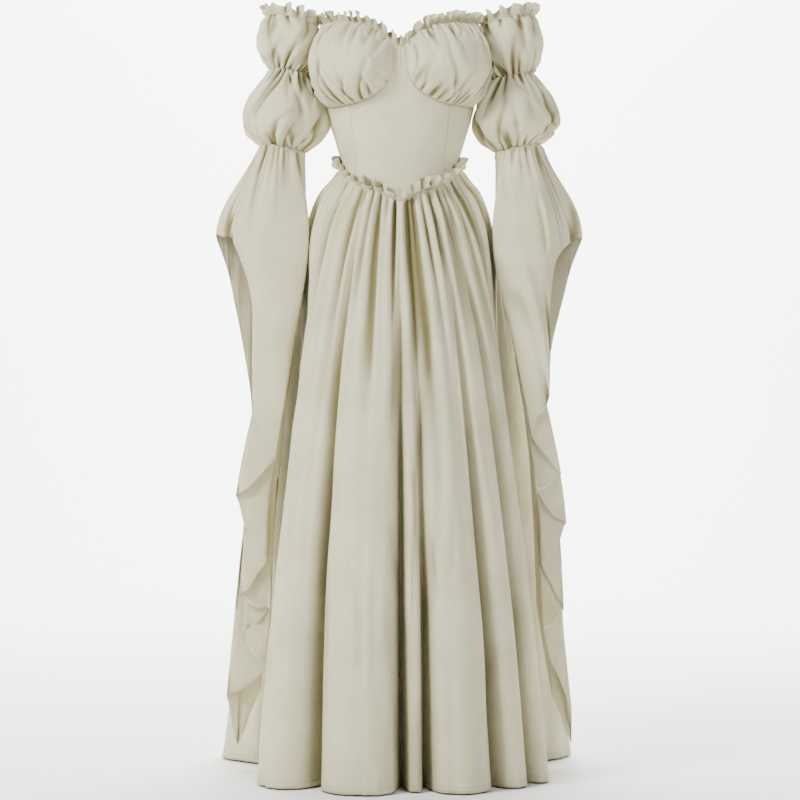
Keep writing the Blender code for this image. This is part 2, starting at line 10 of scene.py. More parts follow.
import bmesh
import bpy
import numpy as np
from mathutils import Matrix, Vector


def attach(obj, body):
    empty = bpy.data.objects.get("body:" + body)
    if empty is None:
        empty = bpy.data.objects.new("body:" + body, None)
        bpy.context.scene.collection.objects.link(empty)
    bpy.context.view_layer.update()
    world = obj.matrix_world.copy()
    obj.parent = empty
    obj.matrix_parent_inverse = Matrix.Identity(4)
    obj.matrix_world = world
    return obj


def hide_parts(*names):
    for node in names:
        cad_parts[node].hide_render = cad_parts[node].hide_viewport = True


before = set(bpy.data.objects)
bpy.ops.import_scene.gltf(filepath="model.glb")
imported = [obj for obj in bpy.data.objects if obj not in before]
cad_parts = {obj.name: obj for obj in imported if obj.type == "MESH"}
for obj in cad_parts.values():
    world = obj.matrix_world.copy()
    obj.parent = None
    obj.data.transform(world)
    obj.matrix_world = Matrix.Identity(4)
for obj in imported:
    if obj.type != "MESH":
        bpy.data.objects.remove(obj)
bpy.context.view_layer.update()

MM = 0.001
# How thick the cloth is, and the cloth of the frills.
CLOTH = 0.8 * MM
FRILL_CLOTH = 0.6 * MM
# Gaps between sewn pieces: at elastics, frills and skirt seams, between bodice panels, under a cup and at the
# waist.
SEAM = 0.3 * MM
PANEL_GAP = SEAM / 20
CUP_GAP = 0.6 * MM
WAIST_GAP = 0.7 * MM
# The hem of the skirt, and the length of its cloth from the waist down.
HEM_Z = -1052 * MM
SKIRT_LONG = 1.03
# How far the frills stand up, on the neckline and on a sleeve.
FRONT_FRILL = 16 * MM
SLEEVE_FRILL = 18 * MM
# How far from a hem a piece without one is taken to be, in millimetres.
NO_HEM = 500.0

# The close-fitting bodice: height, half width, depth to the front and to the back.
BODY = (
    (-80, 118, 102, 92),
    (-40, 108, 95, 83),
    (0, 103, 88, 78),
    (40, 113, 90, 85),
    (80, 125, 93, 93),
    (120, 134, 97, 99),
    (160, 139, 103, 103),
    (200, 141, 103, 104),
    (250, 143, 92, 100),
)
# The waist seam dips to a point at the centre front: angle from the front, height.
WAIST_SEAM = ((0, -68), (10, -59), (20, -49), (35, -41), (55, -27), (75, -9), (90, 0), (120, 3), (180, 4))
# The seam under the cups, and the neckline over them: angle, height.
CUP_SEAM = ((0, 156), (5, 155), (8, 138), (13, 124), (23, 110), (33, 103), (42, 100), (57, 98.5), (77, 100))
CUP_TOP = ((4, 203), (9, 215), (14, 225), (24, 237), (34, 242), (46, 245), (60, 246), (77, 245))
# The upper edge of the strip between the cups, and of the side and back panels: angle, height.
STRIP_TOP = ((0, 196), (4, 201), (5, 155))
BACK_TOP = ((77, 184), (90, 185), (101, 188), (112, 202), (130, 200), (150, 195), (180, 191))
# The seams between the bodice panels: angle at the waist and at the top.
PRINCESS = (50, 42)
SIDE_FRONT = (77, 77)
SIDE_BACK = (112, 112)
CENTRE_BACK = (180, 180)
# The columns of the centre front panel on one side. Those up to STRIP belong to the tucked strip, which is
# wider at the waist: so many times, and by so many degrees.
HALF_FRONT = (2, 4, 5, 6.4, 8, 10, 13, 17, 23, 30, 38, 48)
FRONT_ANGLES = (*(-angle for angle in reversed(HALF_FRONT)), 0, *HALF_FRONT)
STRIP = 5
STRIP_WIDENS = 1.6
STRIP_MORE = 3
# A cup goes from its inner edge, by its angle below and above, to its outer one. Its depth and its width.
CUP_INNER = (5.1, 4.15)
CUP_OUTER = 75
CUP_DEPTH = 52 * MM
CUP_WIDE = 0.19
# How much further a cup stands out towards the arm.
CUP_BULGE = 8 * MM
# Folds that run the height of a cup: place across it, half width as a share, depth. The first is on the left
# cup only.
LONG_CUP_FOLDS = ((0.035, 0.02, 4.0), (0.9, 0.026, 8.0), (0.8, 0.032, 5.5), (0.965, 0.02, 5.0))

# How far the skirt stands out below the waist seam: drop, at the side, at the front, at the back.
FLARE = (
    (0, 0, 0, 0),
    (20, 12, 12, 17),
    (45, 30, 25, 40),
    (100, 50, 48, 67),
    (160, 64, 70, 89),
    (300, 97, 112, 127),
    (500, 137, 156, 167),
    (750, 184, 201, 212),
    (1056, 232, 238, 257),
)
# The cloth of the skirt also springs out at each side below the waist: drop, how far.
HIP = ((0, 0), (20, 3), (45, 9), (100, 17), (160, 22), (300, 22), (500, 19), (750, 12), (1056, 17))
# Skirt folds: their angle at the waist, at a third of the length and at the hem, then how deep they are just
# below the waist, at a third of the length and at the hem.
FRONT_FOLDS = (
    (-80, -78, -78, 4, 0, 0),
    (-70, -70, -66, 5, 2, 0),
    (-62, -60, -57, 8, 14, 8),
    (-54, -52, -43, 7, 6, 5),
    (-46, -44, -38, 6, 4, 0),
    (-38, -37, -33, 6, 5, 0),
    (-30, -31, -28, 11, 42, 130),
    (-23, -23, -20, 7, 7, 4),
    (-17, -14, -11, 5, 3, 3),
    (-10, -8, -5.5, 5, 3, 0),
    (0, 0, 0.5, 9, 34, 110),
    (6, 8, 9, 8, 24, 95),
    (12, 15, 16, 4, 3, 0),
    (19, 22.5, 24, 6, 5, 4),
    (28, 30, 31.5, 9, 28, 95),
    (33, 37, 38, 5, 3, 0),
    (38.5, 45, 45.5, 10, 34, 95),
    (46, 51, 50, 6, 5, 0),
    (54, 60, 58, 8, 11, 6),
    (62, 63, 60, 6, 3, 0),
    (71, 71, 68, 5, 0, 0),
    (80, 79, 79, 4, 0, 0),
)
BACK_FOLDS = (
    (98, 98, 97, 5, 3, 0),
    (108, 108, 107, 6, 8, 12),
    (118, 118, 118, 7, 26, 95),
    (128, 127, 128, 5, 4, 0),
    (139, 138, 139, 8, 28, 105),
    (150, 149, 150, 5, 4, 3),
    (161, 160, 161, 8, 26, 95),
    (172, 171, 171, 5, 4, 0),
)
# The skirt falls in at each side, where a sleeve hangs: share of the length, middle angle, half width, depth.
RECESS = (
    (0, 86, 16, 0),
    (0.08, 84, 18, 8),
    (0.16, 82, 20, 22),
    (0.28, 80, 21, 50),
    (0.5, 78, 22, 80),
    (0.75, 77, 23, 104),
    (1, 76, 24, 118),
)
# How many degrees further back, at the hem, it falls in on the wearer's left.
LEFT_RECESS_SHIFT = 5
# Shares of the length, and how wide a fold's core and its mouth are there. All folds start equally deep.
FOLD_AT = (0, 0.08, 0.35, 1)
FOLD_WIDTH = (2.6, 4, 7, 9)
FOLD_MOUTH = (6, 10, 22, 34)
FOLD_START = 1.5
# A fold deeper than this at the hem gets several columns of the mesh, spread over so many degrees at the
# waist, at a third of the length and at the hem.
DEEP_FOLD = 30
DEEP_COLUMNS = (-1, -0.5, -0.2, 0, 0.2, 0.5, 1)
DEEP_REACH = (2.8, 3.0, 3.6)
# The skirt's hem ripples: how far, how long a ripple is, and how high up it dies away.
HEM_RIPPLE = (1.2 * MM, 0.037, 0.02)
# How much painted shade a skirt fold gets with its depth, and from what depth on it gets no darker.
FOLD_SHADE = 0.07
FOLD_SHADE_END = 46 * MM

# The neckline and armhole edge of a sleeve, from the front corner over the arm to the back and under it:
# x, y and height.
SLEEVE_TOP = (
    (142, -21, 243),
    (156, -43, 248),
    (182, -54, 255),
    (208, -48, 262),
    (227, -27, 264),
    (233, 2, 263),
    (226, 30, 259),
    (205, 52, 251),
    (178, 58, 240),
    (152, 54, 222),
    (134, 41, 204),
    (137.8, 18, 190),
    (139.2, 0, 187),
    (140.6, -12, 193),
    (142, -18, 216),
)
# The point of that edge where a sleeve's mesh starts, and the one near which its frill ends.
SLEEVE_TURN = 5.0
SLEEVE_CORNER = 10
# The elastics: middle x, height, half width, half depth, slope. The upper one is not the same on the wearer's
# right (-1) and left (1).
UPPER_ELASTIC = {-1: (195.5, 167, 34.5, 38, 0.16), 1: (197, 158, 36.5, 38, 0.18)}
LOWER_ELASTIC = (206.5, 32, 38.5, 39, 0.2)
# How far each puff stands out between its two ends: share of the way down, outwards.
UPPER_PUFF = ((0, 0), (0.15, 13), (0.45, 22), (0.75, 15), (0.93, 4), (1, 0))
LOWER_PUFF = ((0, 0), (0.12, 10), (0.35, 30), (0.62, 40), (0.85, 27), (0.96, 7), (1, 0))
# The way round the gathered edge of a puff and of a sleeve end, and the middle of the arm.
PUFF_ROUND = 0.26
END_ROUND = 0.245
ARM_X = 0.2

# The long open sleeve end, one row for each fold line, from the outer corner over the front to the back:
# angle on the elastic, height of its edge, then x and y at the four heights below.
BELL_HEIGHTS = (-120, -350, -650, -950)
RIGHT_BELL = (
    (0, -122, 325, 3, 330, 3, 330, 3, 330, 3),
    (10, -125, 312, -16, 318, -18, 318, -18, 318, -18),
    (22, -128, 296, -34, 300, -45, 300, -45, 300, -45),
    (40, -172, 276, -47, 274, -60, 274, -60, 274, -60),
    (58, -255, 252, -54, 257, -70, 257, -70, 257, -70),
    (76, -430, 232, -57, 254, -76, 255, -80, 255, -80),
    (105, -485, 200, -54, 224, -80, 243, -84, 243, -84),
    (140, -515, 159, -38, 190, -68, 226, -92, 226, -96),
    (152, -577, 186, -22, 238, -59, 288, -83, 288, -88),
    (164, -690, 166, -14, 190, -50, 229, -74, 229, -79),
    (176, -753, 186, -7, 240, -41, 270, -65, 290, -70),
    (188, -772, 166, 0, 190, -32, 222, -56, 230, -61),
    (200, -812, 186, 7, 240, -23, 262, -47, 282, -52),
    (212, -880, 167, 14, 192, -14, 220, -38, 230, -43),
    (224, -929, 188, 22, 242, -5, 275, -29, 305, -34),
    (237, -1014, 186, 32, 226, 4, 264, -20, 284, -25),
    (252, -920, 192, 42, 206, 14, 240, -10, 246, -14),
    (268, -760, 208, 49, 214, 24, 226, 2, 230, -2),
    (290, -456, 236, 50, 256, 22, 266, 10, 266, 10),
    (312, -392, 262, 44, 265, 12, 265, 12, 265, 12),
    (328, -300, 285, 32, 280, 8, 280, 8, 280, 8),
    (342, -185, 305, 18, 302, 6, 302, 6, 302, 6),
)
LEFT_BELL = (
    (0, -126, 322, 4, 326, 4, 326, 4, 326, 4),
    (10, -133, 304, -10, 308, -12, 308, -12, 308, -12),
    (22, -150, 284, -24, 288, -30, 288, -30, 288, -30),
    (40, -176, 270, -38, 270, -52, 270, -52, 270, -52),
    (58, -262, 256, -50, 261, -66, 261, -66, 261, -66),
    (76, -405, 236, -56, 258, -75, 258, -80, 258, -80),
    (105, -440, 204, -54, 230, -80, 250, -84, 250, -84),
    (140, -478, 161, -38, 204, -68, 250, -92, 250, -96),
    (152, -540, 188, -22, 240, -59, 288, -83, 288, -88),
    (164, -570, 168, -14, 204, -50, 240, -74, 240, -79),
    (176, -625, 188, -7, 240, -41, 289, -65, 292, -70),
    (188, -697, 168, 0, 204, -32, 244, -56, 250, -61),
    (200, -775, 188, 7, 240, -23, 278, -47, 292, -52),
    (212, -815, 169, 14, 206, -14, 240, -38, 256, -43),
    (224, -935, 190, 22, 242, -5, 276, -29, 292, -34),
    (237, -1012, 188, 32, 228, 4, 268, -20, 300, -25),
    (252, -930, 194, 42, 210, 14, 250, -10, 268, -14),
    (268, -770, 210, 49, 218, 24, 236, 2, 246, -2),
    (290, -470, 238, 50, 256, 22, 262, 10, 262, 10),
    (312, -400, 262, 44, 258, 12, 258, 12, 258, 12),
    (328, -290, 284, 32, 272, 8, 272, 8, 272, 8),
    (342, -180, 303, 18, 298, 6, 298, 6, 298, 6),
)
# The rows between these two are the folds of the cascade. Each is rounded over this share of a row.
BELL_FLAT = (6, 18)
FOLD_ROUND = 0.22
# Pleats from the lower elastic to the outer corner: angle on the elastic, half width in degrees, depth.
CORNER_PLEATS = ((46, 4, 5.0), (33, 3.4, 4.5), (21, 3.4, 4.0))
# Painted shade along a seam between bodice panels and at the foot of a frill: how much darker the cloth is
# there, given as the depth of a fold.
SEAM_SHADE = 1.6 * MM
FRILL_SHADE = 2.1 * MM

# The paper sweep under and behind the dress, in metres: its start, its length and half width, where it bends
# up, and over what length.
PAPER_FROM = -9
PAPER_LONG = 24
PAPER_HALF = 12
BEND_FROM = 3.0
BEND_LONG = 4.0
# The camera of the photograph.
CAMERA_PLACE = (0, -4.0, -0.411)
CAMERA_LENS = 102.1


def column(table, index):
    """One column of a table, as an array."""
    return np.array([row[index] for row in table], float)


def slopes_at(slope):
    """The slope at each point of a curve, from the slopes between its points: level where it turns."""
    before, after = slope[..., :-1], slope[..., 1:]
    same = before * after > 0
    total = np.where(same, before + after, 1.0)
    middle = np.where(same, 2 * before * after / total, 0.0)
    return np.concatenate([slope[..., :1], middle, slope[..., -1:]], axis=-1)


def between_points(first, last, slope_first, slope_last, t, length):
    """The curve between two points, at a share t of the way, from their values and slopes."""
    return (
        first * (1 + 2 * t) * (1 - t) ** 2
        + slope_first * length * t * (1 - t) ** 2
        + last * t**2 * (3 - 2 * t)
        + slope_last * length * t**2 * (t - 1)
    )


def through(at, known, values):
    """A smooth curve through the known points, which never overshoots them, read at the places asked for."""
    at, known, values = (np.asarray(a, float) for a in (at, known, values))
    step = np.diff(known)
    slope = slopes_at(np.diff(values) / step)
    i = np.clip(np.searchsorted(known, at, side="right") - 1, 0, len(step) - 1)
    t = np.clip((at - known[i]) / step[i], 0, 1)
    return between_points(values[i], values[i + 1], slope[i], slope[i + 1], t, step[i])


def look_up(table, at, index=1):
    """A table's column read at a place in its first column, in metres if it holds millimetres."""
    return through(at, column(table, 0), column(table, index))


def round_loop(points, at):
    """A smooth closed curve through the points; a whole number at a point, one more at the next."""
    points = np.asarray(points, float)
    n = len(points)
    i = np.floor(at).astype(int)
    t = (at - i)[..., None]
    a, b, c, d = (points[(i + k) % n] for k in (-1, 0, 1, 2))
    return 0.5 * (2 * b + (c - a) * t + (2 * a - 5 * b + 4 * c - d) * t**2 + (3 * b - a - 3 * c + d) * t**3)


def body_point(angle, height):
    """A point of the close-fitting bodice, for an angle in degrees and a height in metres."""
    a = np.radians(angle)
    wide = look_up(BODY, height / MM, 1) * MM
    front = look_up(BODY, height / MM, 2) * MM
    back = look_up(BODY, height / MM, 3) * MM
    deep = np.where(np.cos(a) > 0, front, back)
    return np.stack([wide * np.sin(a), -deep * np.cos(a), height + 0 * a], axis=-1)


def outwards(angle):
    """The level direction away from the body."""
    a = np.radians(angle)
    return np.stack([np.sin(a), -np.cos(a), 0 * a], axis=-1)


def waist_height(angle):
    """The height of the waist seam."""
    turned = np.abs((angle + 180) % 360 - 180)
    return look_up(WAIST_SEAM, turned) * MM


def smooth(low, high, x):
    """0 at low, 1 at high, and a soft step between."""
    t = np.clip((x - low) / (high - low), 0, 1)
    return t * t * (3 - 2 * t)


def drawn_folds(seed, count, width, reach, depth, narrow, lean, even=0.75):
    """Folds that a gathered seam draws in the cloth, spread along its width in metres.

    Each row has its place along the seam, its reach, depth and half width, its lean and its lip's side.
    """
    draw = np.random.default_rng(seed)
    rows = []
    for i in range(count):
        place = (i + 0.5 + even * draw.uniform(-0.5, 0.5)) * width / count
        long = reach[0] + (reach[1] - reach[0]) * draw.uniform() ** 1.3
        strength = draw.uniform(*depth) * MM
        half = draw.uniform(*narrow) * MM
        rows.append((place, long, strength, half, draw.uniform(-lean, lean), draw.choice((-1.0, 1.0))))
    return rows


def gathers(x, away, rows, width=None):
    """The relief of drawn folds: sharp valleys that widen and die away, each with a rounded lip."""
    total = np.zeros_like(x)
    for place, reach, depth, half, lean, lip in rows:
        side = x - place - lean * away
        if width:
            side = (side + width / 2) % width - width / 2
        side = side / (half * (1 + 1.6 * away / reach))
        fade = np.clip(1 - away / reach, 0, 1) ** 1.1
        valley = np.exp(-np.abs(side) ** 1.25)
        ridge = np.exp(-(((side - 1.7 * lip) / 1.15) ** 2))
        total += depth * fade * (0.62 * ridge - valley)
    return total


def creases(x, y, rows):
    """Soft wrinkles, each a trough and a ridge: ends in metres, then depth and width in millimetres."""
    total = np.zeros_like(x)
    for x0, y0, x1, y1, depth, width in rows:
        dx, dy = x1 - x0, y1 - y0
        length = math.hypot(dx, dy)
        along = ((x - x0) * dx + (y - y0) * dy) / length**2
        side = ((x - x0) * dy - (y - y0) * dx) / length / (width * MM)
        fade = smooth(-0.15, 0.3, along) * (1 - smooth(0.7, 1.15, along))
        total += depth * MM * fade * (1.3 * side - 0.35) * np.exp(-(side**2))
    return total


def scattered(seed, count, width, height, length, tilt, depth, breadth):
    """Rows for creases(), scattered over a piece, tilted from upright by up to so many degrees."""
    draw = np.random.default_rng(seed)
    rows = []
    for _ in range(count):
        x, y = draw.uniform(0, width), draw.uniform(0, height)
        lean = math.radians(draw.uniform(*tilt))
        long = draw.uniform(*length)
        sign = draw.choice((-1, 1))
        deep = sign * draw.uniform(*depth)
        wide = draw.uniform(*breadth)
        rows.append((x, y, x + long * math.sin(lean), y + long * math.cos(lean), deep, wide))
    return rows


def cloth(name, across, up, lay, finish, cut, closed=False, faces_out=True, wall=CLOTH):
    """A piece of cloth: a grid of across by up faces laid by lay(u, v), with its UV map in metres.

    lay gives each point, how far it is from a sewn hem in mm, and how much painted shade it gets, given as the
    depth of a fold in metres. The wall grows inwards. A closed piece goes once round, and its two side edges
    are joined.
    """
    bm = bmesh.new()
    bm.loops.layers.uv.new("cut")
    bmesh.ops.create_grid(bm, x_segments=across, y_segments=up, size=0.5, calc_uvs=True)
    flat = np.array([v.co[:2] for v in bm.verts]) + 0.5
    points, hem, painted_shade = lay(flat[:, 0], flat[:, 1])
    hem_mm = bm.verts.layers.float.new("hem_mm")
    # Painted shade: how dark each point is painted, given as the depth of a fold in mm, is kept on the point
    # for the material.
    painted_shade_mm = bm.verts.layers.float.new("painted_shade_mm")
    for vertex, point, far, deep in zip(bm.verts, points, np.broadcast_to(hem, len(flat)), painted_shade / MM):
        vertex.co = point
        vertex[hem_mm] = far
        vertex[painted_shade_mm] = deep
    cut_map = bm.loops.layers.uv["cut"]
    for face in bm.faces:
        for loop in face.loops:
            loop[cut_map].uv = (loop[cut_map].uv.x * cut[0], loop[cut_map].uv.y * cut[1])
    if closed:
        edge = [v for v in bm.verts if v.is_boundary]
        bmesh.ops.remove_doubles(bm, verts=edge, dist=1e-6)
    if not faces_out:
        bmesh.ops.reverse_faces(bm, faces=bm.faces)
    mesh = bpy.data.meshes.new(name)
    bm.to_mesh(mesh)
    bm.free()
    mesh.shade_smooth()
    mesh.materials.append(finish)
    piece = bpy.data.objects.new(name, mesh)
    bpy.context.scene.collection.objects.link(piece)
    thick = piece.modifiers.new("wall", "SOLIDIFY")
    thick.thickness = wall
    thick.offset = -1
    return piece


def sew(piece, node):
    """Hands a piece of cloth over to the frame: it rides on the body and stands for its node."""
    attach(piece, "root")
    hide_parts(node)


def front_top(angle):
    """The upper edge of the centre front panel: a narrow strip between the cups, then the seam under them."""
    turned = np.abs(angle)
    strip = look_up(STRIP_TOP, turned) * MM
    seam = look_up(CUP_SEAM, turned) * MM
    return np.where(turned < STRIP_TOP[-1][0], strip, seam)


def side_front_top(angle):
    """The upper edge of a side front panel, which is the seam under the cup."""
    return look_up(CUP_SEAM, np.abs(angle)) * MM


def back_top(angle):
    """The upper edge of the side and back panels."""
    turned = np.abs((angle + 180) % 360 - 180)
    return look_up(BACK_TOP, turned) * MM


def seam_relief(from_seam, along, seed):
    """The dip and the small puckers that a sewn seam leaves in the cloth beside it."""
    draw = np.random.default_rng(seed)
    dip = -0.4 * MM * np.exp(-((from_seam / (1.5 * MM)) ** 2))
    pucker = np.sin(2 * math.pi * along / (11 * MM) + draw.uniform(0, 6) + 1.5 * np.sin(along / (23 * MM)))
    return dip + 0.35 * MM * pucker * np.exp(-from_seam / (6 * MM))


def bodice_panel(name, start, end, top, finish, across, seed, cut):
    """A bodice panel between two seams, each given by its angle at the waist and at the top."""
    rows = scattered(seed, 9, cut[0], cut[1], (0.03, 0.07), (-60, 60), (0.3, 0.7), (7, 12))

    def lay(u, v):
        first = start[0] + (start[1] - start[0]) * v
        last = end[0] + (end[1] - end[0]) * v
        gap = np.degrees(PANEL_GAP / (110 * MM))
        angle = first + gap + (last - first - 2 * gap) * u
        low = waist_height(angle) + WAIST_GAP / 2
        high = top(angle)
        from_seam = np.minimum(u, 1 - u) * cut[0]
        relief = seam_relief(from_seam, v * cut[1], seed)
        relief = relief + creases(u * cut[0], v * cut[1], rows) * smooth(0, 0.1, v)
        point = body_point(angle, low + (high - low) * v) + outwards(angle) * relief[:, None]
        # Painted shade: darker along the seams and where the relief sinks in.
        return point, NO_HEM, SEAM_SHADE * np.exp(-from_seam / (1.5 * MM)) - relief

    return cloth(name, across, 64, lay, finish, cut=cut)


def front_panel(finish, cut):
    """The centre front, with the tucked strip that runs up between the cups."""
    rows = scattered(5, 16, cut[0], cut[1], (0.04, 0.09), (-70, 70), (0.3, 0.8), (8, 14))

    def lay(u, v):
        wanted = np.interp(u * (len(FRONT_ANGLES) - 1), np.arange(len(FRONT_ANGLES)), FRONT_ANGLES)
        gap = np.degrees(PANEL_GAP / (100 * MM))
        edge_waist = PRINCESS[0] - gap
        edge_top = PRINCESS[1] - gap
        in_strip = np.abs(wanted) <= STRIP
        spread = np.clip((np.abs(wanted) - STRIP) / (FRONT_ANGLES[-1] - STRIP), 0, 1)
        fan = np.sign(wanted) * (STRIP + spread * (edge_waist - STRIP) + STRIP_MORE * (1 - spread))
        at_waist = np.where(in_strip, wanted * STRIP_WIDENS, fan)
        at_top = np.sign(wanted) * (STRIP + spread * (edge_top - STRIP))
        at_top = np.where(in_strip, wanted, at_top)
        angle = at_waist + (at_top - at_waist) * v
        low = waist_height(angle) + WAIST_GAP / 2
        high = front_top(at_top)
        point = body_point(angle, low + (high - low) * v)
        from_seam = (1 - np.abs(wanted) / FRONT_ANGLES[-1]) * cut[0] / 2
        relief = seam_relief(from_seam, point[:, 2], 3)
        across = np.radians(angle) * 100 * MM
        tucks = 0.5 * MM * np.cos(2 * math.pi * across / (4.6 * MM)) * smooth(0.125, 0.165, point[:, 2])
        relief = relief + tucks * in_strip
        relief = relief + creases(across + cut[0] / 2, point[:, 2] + 60 * MM, rows) * smooth(0, 0.12, v)
        # Painted shade: darker where the relief sinks in.
        return point + outwards(angle) * relief[:, None], NO_HEM, -relief

    return cloth("bodice_front_panel", (len(FRONT_ANGLES) - 1) * 6, 70, lay, finish, cut=cut)


def cup(name, side, finish, seed, cut):
    """A gathered cup, a dome between the seam under it, the neckline, the centre strip and the armhole."""
    below = drawn_folds(seed, 21, CUP_WIDE, (0.03, 0.13), (6.0, 12.0), (2.2, 3.6), 0.5)
    above = drawn_folds(seed + 7, 26, CUP_WIDE, (0.03, 0.1), (4.5, 9.5), (1.8, 2.9), 0.3)
    rows = scattered(seed, 8, cut[0], cut[1], (0.03, 0.07), (-25, 35), (0.6, 1.6), (4, 8))

    def lay(u, v):
        inner = CUP_INNER[0] + (CUP_INNER[1] - CUP_INNER[0]) * v
        angle = inner + (CUP_OUTER - inner) * u**1.2
        bulge = CUP_BULGE * smooth(0.55, 0.85, u) * np.sin(np.pi * v**0.8) ** 0.8
        seam = look_up(CUP_SEAM, angle) * MM
        steep = (look_up(CUP_SEAM, angle + 0.5) - look_up(CUP_SEAM, angle - 0.5)) * MM
        slant = np.hypot(1, steep / (np.radians(1) * 110 * MM))
        low = seam + CUP_GAP * slant
        high = look_up(CUP_TOP, angle) * MM
        base = body_point(side * angle, low + (high - low) * v)
        share = (angle - inner) / (CUP_OUTER - inner)
        dome = CUP_DEPTH * np.sin(np.pi * share**0.92) ** 0.62 * np.sin(np.pi * v**0.93) ** 0.62
        up, down = v * cut[1], (1 - v) * cut[1]
        x = share * CUP_WIDE
        pull = gathers(x, up, below) * smooth(-1 * MM, 5 * MM, up) * (0.4 + 0.8 * share)
        pull += gathers(x, down, above) * smooth(-1 * MM, 4 * MM, down) * (0.7 + 0.5 * share)
        pull *= smooth(0, 0.06, share) * smooth(0, 0.05, 1 - share)
        # Long folds run down beside the armhole and beside the centre strip.
        for place, half, deep in LONG_CUP_FOLDS if side > 0 else LONG_CUP_FOLDS[1:]:
            bow = place + 0.05 * np.sin(np.pi * v)
            valley = deep * MM * np.exp(-(np.abs((share - bow) / half) ** 1.3))
            pull -= valley * smooth(0, 0.2, v) * smooth(0, 0.12, 1 - v)
        # Painted shade: darker in the valleys of the gathers and long folds, along the seam under the cup and
        # beside the centre strip.
        painted_shade = -pull
        pull += creases(u * cut[0], v * cut[1], rows) * smooth(0, 0.06, share) * smooth(0, 0.05, 1 - share)
        painted_shade = painted_shade + 2.5 * MM * np.exp(-up / (2 * MM)) + 2 * MM * np.exp(-x / (2 * MM))
        return base + outwards(side * angle) * (dome + bulge + pull)[:, None], NO_HEM, painted_shade

    return cloth(name, 156, 92, lay, finish, faces_out=side > 0, cut=cut)


def fold_line(fold, v):
    """Where a fold line runs, and how deep it is, at a share of the skirt's length."""
    angle = through(v, (0, 0.3, 1), (fold[0], fold[1], fold[2]))
    deep = through(v, FOLD_AT, (FOLD_START, *fold[3:]))
    return angle, deep


def mirrored(folds):
    """The same folds on the other side."""
    return tuple((-a, -b, -c, d, e, f) for a, b, c, d, e, f in reversed(folds))


def skirt_point(angle, v, start):
    """A skirt point and how far folds draw it in: its angle, share of the length and angle at the waist."""
    top = waist_height(start) - WAIST_GAP / 2
    height = top + (HEM_Z - top) * v
    drop = np.maximum(top - height, 0) / MM
    a = np.radians(angle)
    side = look_up(FLARE, drop, 1)
    ahead = np.where(np.cos(a) > 0, look_up(FLARE, drop, 2), look_up(FLARE, drop, 3))
    stand = (side * np.sin(a) ** 2 + ahead * np.cos(a) ** 2 + look_up(HIP, drop) * np.sin(a) ** 6) * MM
    seam = body_point(angle, waist_height(angle) + 0 * v)
    girth = 95 * MM + stand
    narrow = np.interp(v, FOLD_AT, FOLD_WIDTH) * MM
    mouth = np.interp(v, FOLD_AT, FOLD_MOUTH) * MM
    inward = np.zeros_like(angle)
    for fold in mirrored(BACK_FOLDS) + FRONT_FOLDS + BACK_FOLDS:
        middle, deep = fold_line(fold, v)
        away = np.radians((angle - middle + 180) % 360 - 180) * girth
        inward += deep * MM * (0.7 * np.exp(-((away / narrow) ** 2)) + 0.3 * np.exp(-((away / mouth) ** 2)))
    recess = np.zeros_like(angle)
    for turn in (-1, 1):
        shift = LEFT_RECESS_SHIFT * v if turn > 0 else 0 * v
        middle = turn * (look_up(RECESS, v, 1) + shift)
        away = ((angle - middle + 180) % 360 - 180) / look_up(RECESS, v, 2)
        deep = look_up(RECESS, v, 3) * MM
        recess = recess + (deep - 0.6 * inward * (deep > 0)) * np.exp(-(away**4))
    point = seam + outwards(angle) * (stand - inward - recess)[:, None]
    point[:, 2] = height
    return point, inward


def skirt_lines(folds, start, end):
    """The columns of a skirt panel: its angles at the waist, at a third of the length and at the hem."""
    gap_top, gap_hem = np.degrees(SEAM / 2 / (100 * MM)), np.degrees(SEAM / 2 / (230 * MM))
    lines = [(start + gap_top, start + gap_hem * 1.5, start + gap_hem)]
    around = [(start,) * 3, *folds, (end,) * 3]
    for i, fold in enumerate(folds):
        before, after = around[i], around[i + 2]
        for share in DEEP_COLUMNS if fold[5] > DEEP_FOLD else (0,):
            near = before if share < 0 else after
            reach = [min(abs(near[k] - fold[k]) * 0.42, DEEP_REACH[k]) for k in range(3)]
            lines.append(tuple(fold[k] + share * reach[k] for k in range(3)))
        if i + 1 < len(folds):
            lines.append(tuple((fold[k] + after[k]) / 2 for k in range(3)))
    lines.append((end - gap_top, end - gap_hem * 1.5, end - gap_hem))
    return np.array(lines)


